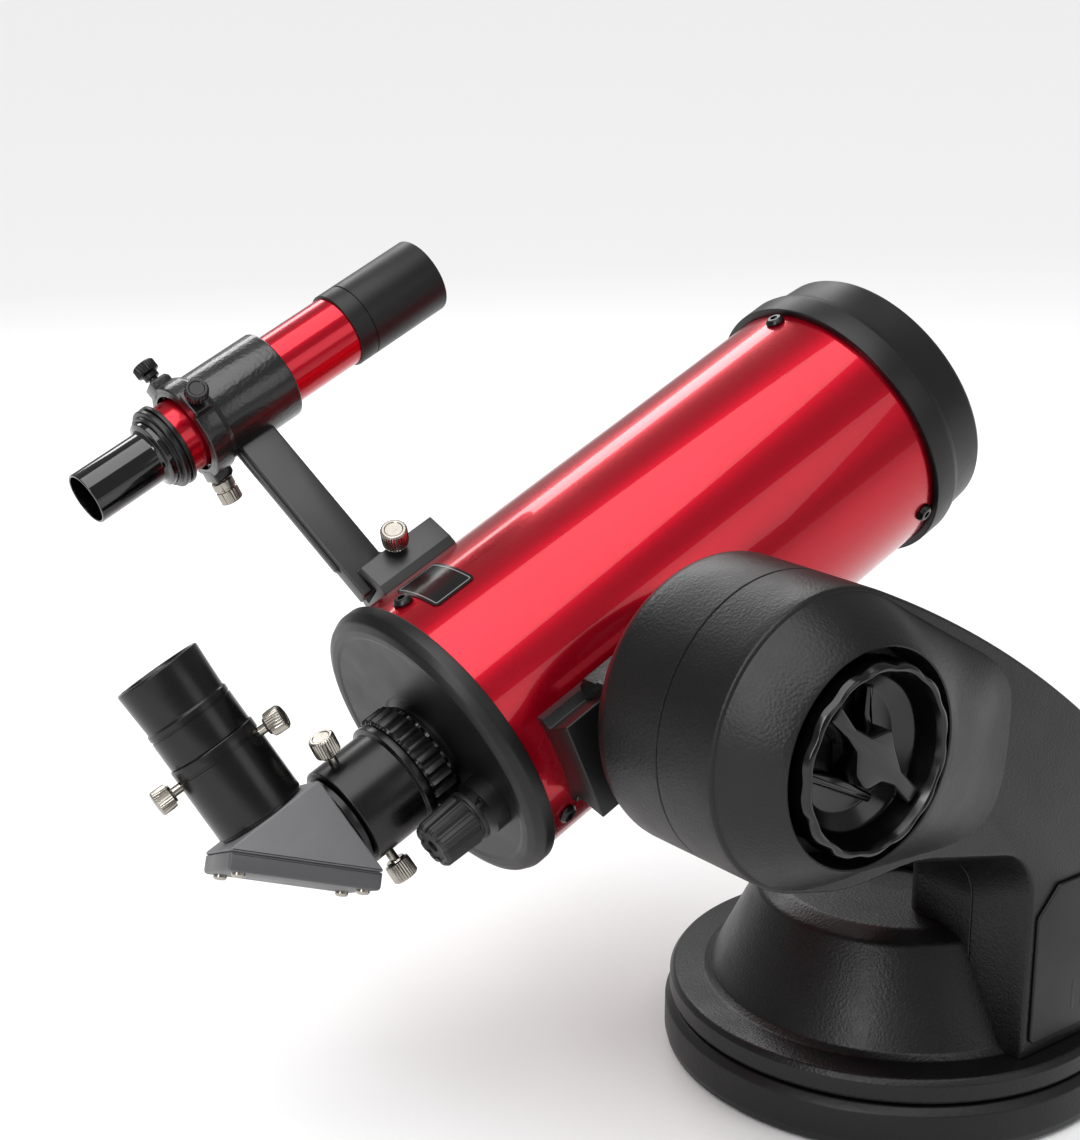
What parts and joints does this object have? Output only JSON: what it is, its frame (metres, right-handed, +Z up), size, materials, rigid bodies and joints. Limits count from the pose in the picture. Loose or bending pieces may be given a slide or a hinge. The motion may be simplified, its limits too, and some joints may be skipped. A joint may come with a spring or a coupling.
{
  "type": "telescope on a single-arm mount",
  "caption": "Short-tube mirror-lens telescope with star diagonal, eyepiece and finder, held in a dovetail saddle on a single-arm altitude-azimuth mount head.",
  "frame": {"origin": "centre of the base's underside, at the mouth of the tripod thread, on the azimuth axis", "axes": "+X is the way the tube points, +Y is away from the arm, +Z is up"},
  "size_m": [0.4173, 0.2937, 0.3486],
  "materials": {
    "red_gloss": "metallic red gloss enamel over a rolled aluminium tube",
    "cell_black": "satin black moulded ABS with a fine texture",
    "mount_black": "satin black moulded ABS with a pebbled texture",
    "cast_black": "black hammered paint over cast aluminium",
    "anodised_black": "satin black anodised aluminium",
    "gloss_black": "polished black acetal",
    "knob_rubber": "ribbed black rubber",
    "nickel": "nickel-plated knurled brass",
    "housing_grey": "grey powder-coated die casting",
    "lens_glass": "coated optical glass",
    "mirror_coat": "front-aluminised glass",
    "spot_coat": "vacuum-deposited aluminium film",
    "steel": "turned steel",
    "aluminium": "turned aluminium",
    "brass": "machined brass",
    "base_black": "black crackle paint over cast iron",
    "label_black": "blank printed foil with a silver border"
  },
  "bodies": {
    "base": {"base_body": "base_black"},
    "arm": {"turntable": "mount_black", "arm_inner_shell": "mount_black", "arm_outer_shell": "mount_black", "arm_panel": "cell_black", "drive_motors": "steel"},
    "azimuth_worm_body": {"azimuth_worm": "steel"},
    "altitude_worm_body": {"altitude_worm": "steel"},
    "cradle": {"saddle": "cast_black", "altitude_shaft": "steel", "altitude_wheel": "brass"},
    "clutch": {"clutch_knob": "gloss_black"},
    "jaw": {"saddle_jaw": "cast_black"},
    "jaw_knob": {"saddle_knob": "knob_rubber"},
    "telescope": {"main_tube": "red_gloss", "front_cell": "cell_black", "retaining_ring": "anodised_black", "corrector_lens": "lens_glass", "secondary_spot": "spot_coat", "secondary_baffle": "anodised_black", "baffle_tube": "anodised_black", "rear_cell": "cell_black", "tube_screws": "anodised_black", "focus_boss": "cell_black", "label_plate": "label_black", "dovetail_bar": "cell_black", "finder_shoe": "cast_black"},
    "mirror_cell": {"primary_mirror": "mirror_coat", "mirror_carrier": "aluminium"},
    "focuser": {"focus_knob": "knob_rubber", "focus_rod": "steel"},
    "lock_ring": {"visual_back_ring": "anodised_black"},
    "adapter": {"eyepiece_adapter": "anodised_black"},
    "adapter_thumbscrew_a": {"adapter_screw_a": "nickel"},
    "adapter_thumbscrew_b": {"adapter_screw_b": "nickel"},
    "diagonal": {"diagonal_nosepiece": "anodised_black", "prism_housing": "housing_grey", "prism_cover": "housing_grey", "cover_screws": "nickel", "prism": "lens_glass", "eyepiece_holder": "anodised_black"},
    "holder_thumbscrew_a": {"holder_screw_a": "nickel"},
    "holder_thumbscrew_b": {"holder_screw_b": "nickel"},
    "eyepiece": {"eyepiece_barrel": "nickel", "eyepiece_body": "anodised_black", "eyepiece_lenses": "lens_glass"},
    "finder_mount": {"finder_bracket": "cast_black", "plunger_barrel": "nickel"},
    "shoe_thumbscrew_a": {"shoe_screw_a": "nickel"},
    "shoe_thumbscrew_b": {"shoe_screw_b": "anodised_black"},
    "finder": {"finder_tube": "red_gloss", "finder_dew_shield": "cell_black", "finder_objective": "lens_glass", "finder_o_ring": "knob_rubber"},
    "finder_focus_ring": {"finder_lock_ring": "anodised_black"},
    "finder_ocular": {"finder_eyepiece": "gloss_black", "finder_eye_lens": "lens_glass"},
    "finder_adjuster_a": {"adjuster_a": "anodised_black"},
    "finder_adjuster_b": {"adjuster_b": "anodised_black"},
    "plunger": {"plunger_pin": "steel"}
  },
  "joints": [
    {"name": "azimuth", "type": "hinge", "parent": "base", "child": "arm", "pos_m": [0, 0, 0.05], "axis": [0, 0, 1], "continuous": true},
    {"name": "azimuth_worm_turn", "type": "hinge", "parent": "arm", "child": "azimuth_worm_body", "pos_m": [0, 0.0414, 0.044], "axis": [1, 0, 0], "continuous": true},
    {"name": "altitude", "type": "hinge", "parent": "arm", "child": "cradle", "pos_m": [-0.138, -0.05, 0.2], "axis": [0, -1, 0], "range_deg": [-29.3, 65.7]},
    {"name": "altitude_worm_turn", "type": "hinge", "parent": "arm", "child": "altitude_worm_body", "pos_m": [-0.138, -0.0545, 0.1606], "axis": [1, 0, 0], "range_deg": [-1800, 4000]},
    {"name": "clutch_turn", "type": "hinge", "parent": "cradle", "child": "clutch", "pos_m": [-0.138, -0.1, 0.2], "axis": [0, -1, 0], "range_deg": [0, 270]},
    {"name": "dovetail_slide", "type": "slide", "parent": "cradle", "child": "telescope", "axis": [0.9114, 0, 0.4115], "range_m": [-0.02, 0.012]},
    {"name": "jaw_slide", "type": "slide", "parent": "cradle", "child": "jaw", "axis": [0.4115, 0, -0.9114], "range_m": [0, 0.002]},
    {"name": "jaw_knob_turn", "type": "hinge", "parent": "jaw", "child": "jaw_knob", "pos_m": [-0.11907, -0.011, 0.15807], "axis": [0.4115, 0, -0.9114], "range_deg": [0, 580]},
    {"name": "mirror_focus", "type": "slide", "parent": "telescope", "child": "mirror_cell", "axis": [0.9114, 0, 0.4115], "range_m": [-0.007, 0.007]},
    {"name": "focus_turn", "type": "hinge", "parent": "telescope", "child": "focuser", "pos_m": [-0.21509, 0.0248, 0.15203], "axis": [0.9114, 0, 0.4115], "range_deg": [-2530, 2530]},
    {"name": "lock_ring_turn", "type": "hinge", "parent": "telescope", "child": "lock_ring", "pos_m": [-0.21547, 0.058, 0.16502], "axis": [0.9114, 0, 0.4115], "range_deg": [0, 540]},
    {"name": "adapter_turn", "type": "hinge", "parent": "telescope", "child": "adapter", "pos_m": [-0.2337, 0.058, 0.15679], "axis": [0.9114, 0, 0.4115], "continuous": true},
    {"name": "adapter_screw_a_turn", "type": "hinge", "parent": "adapter", "child": "adapter_thumbscrew_a", "pos_m": [-0.25156, 0.06044, 0.17933], "axis": [-0.4099, 0.0872, 0.9079], "range_deg": [0, 720]},
    {"name": "adapter_screw_b_turn", "type": "hinge", "parent": "adapter", "child": "adapter_thumbscrew_b", "pos_m": [-0.22963, 0.04617, 0.13078], "axis": [0.373, -0.4226, -0.826], "range_deg": [0, 720]},
    {"name": "diagonal_turn", "type": "hinge", "parent": "adapter", "child": "diagonal", "pos_m": [-0.23825, 0.058, 0.15473], "axis": [0.9114, 0, 0.4115], "continuous": true},
    {"name": "eyepiece_slide", "type": "slide", "parent": "diagonal", "child": "eyepiece", "axis": [-0.3667, 0.454, 0.8121], "range_m": [0, 0.03]},
    {"name": "holder_screw_a_turn", "type": "hinge", "parent": "diagonal", "child": "holder_thumbscrew_a", "pos_m": [-0.26926, 0.06708, 0.1923], "axis": [0.6739, -0.4722, 0.5682], "range_deg": [0, 720]},
    {"name": "holder_screw_b_turn", "type": "hinge", "parent": "diagonal", "child": "holder_thumbscrew_b", "pos_m": [-0.30774, 0.08275, 0.16617], "axis": [-0.8651, 0.1547, -0.4771], "range_deg": [0, 720]},
    {"name": "finder_foot_slide", "type": "slide", "parent": "telescope", "child": "finder_mount", "axis": [0.9114, 0, 0.4115], "range_m": [-0.04, 0]},
    {"name": "shoe_screw_a_turn", "type": "hinge", "parent": "telescope", "child": "shoe_thumbscrew_a", "pos_m": [-0.19748, 0.09199, 0.24426], "axis": [-0.3802, -0.3827, 0.842], "range_deg": [0, 720]},
    {"name": "shoe_screw_b_turn", "type": "hinge", "parent": "telescope", "child": "shoe_thumbscrew_b", "pos_m": [-0.18963, 0.11514, 0.22687], "axis": [0.082, 0.9799, -0.1817], "range_deg": [0, 720]},
    {"name": "finder_aim", "type": "hinge", "parent": "finder_mount", "child": "finder", "pos_m": [-0.21454, 0.15837, 0.29904], "axis": [-0.0323, 0.9969, 0.0715], "range_deg": [-0.5, 0.5]},
    {"name": "finder_lock_ring_turn", "type": "hinge", "parent": "finder", "child": "finder_focus_ring", "pos_m": [-0.26193, 0.15837, 0.27764], "axis": [0.9114, 0, 0.4115], "range_deg": [-360, 360]},
    {"name": "finder_focus", "type": "slide", "parent": "finder", "child": "finder_ocular", "axis": [-0.9114, 0, -0.4115], "range_m": [0, 0.004]},
    {"name": "adjuster_a_turn", "type": "hinge", "parent": "finder_mount", "child": "finder_adjuster_a", "pos_m": [-0.25764, 0.17463, 0.30459], "axis": [-0.335, 0.5807, 0.742], "range_deg": [0, 720]},
    {"name": "adjuster_b_turn", "type": "hinge", "parent": "finder_mount", "child": "finder_adjuster_b", "pos_m": [-0.25648, 0.13875, 0.30202], "axis": [-0.2935, -0.7009, 0.6501], "range_deg": [0, 720]},
    {"name": "plunger_slide", "type": "slide", "parent": "finder_mount", "child": "plunger", "axis": [0.4059, -0.165, -0.8989], "range_m": [0, 0.004], "stiffness_N_per_m": 500, "springref_m": -0.002}
  ],
  "couplings": [
    {"joint": "azimuth_worm_turn", "follows": "azimuth", "ratio": 60},
    {"joint": "altitude_worm_turn", "follows": "altitude", "ratio": 60},
    {"joint": "jaw_knob_turn", "follows": "jaw_slide", "rad_per_m": 5026.5},
    {"joint": "focus_turn", "follows": "mirror_focus", "rad_per_m": 6283.2}
  ]
}
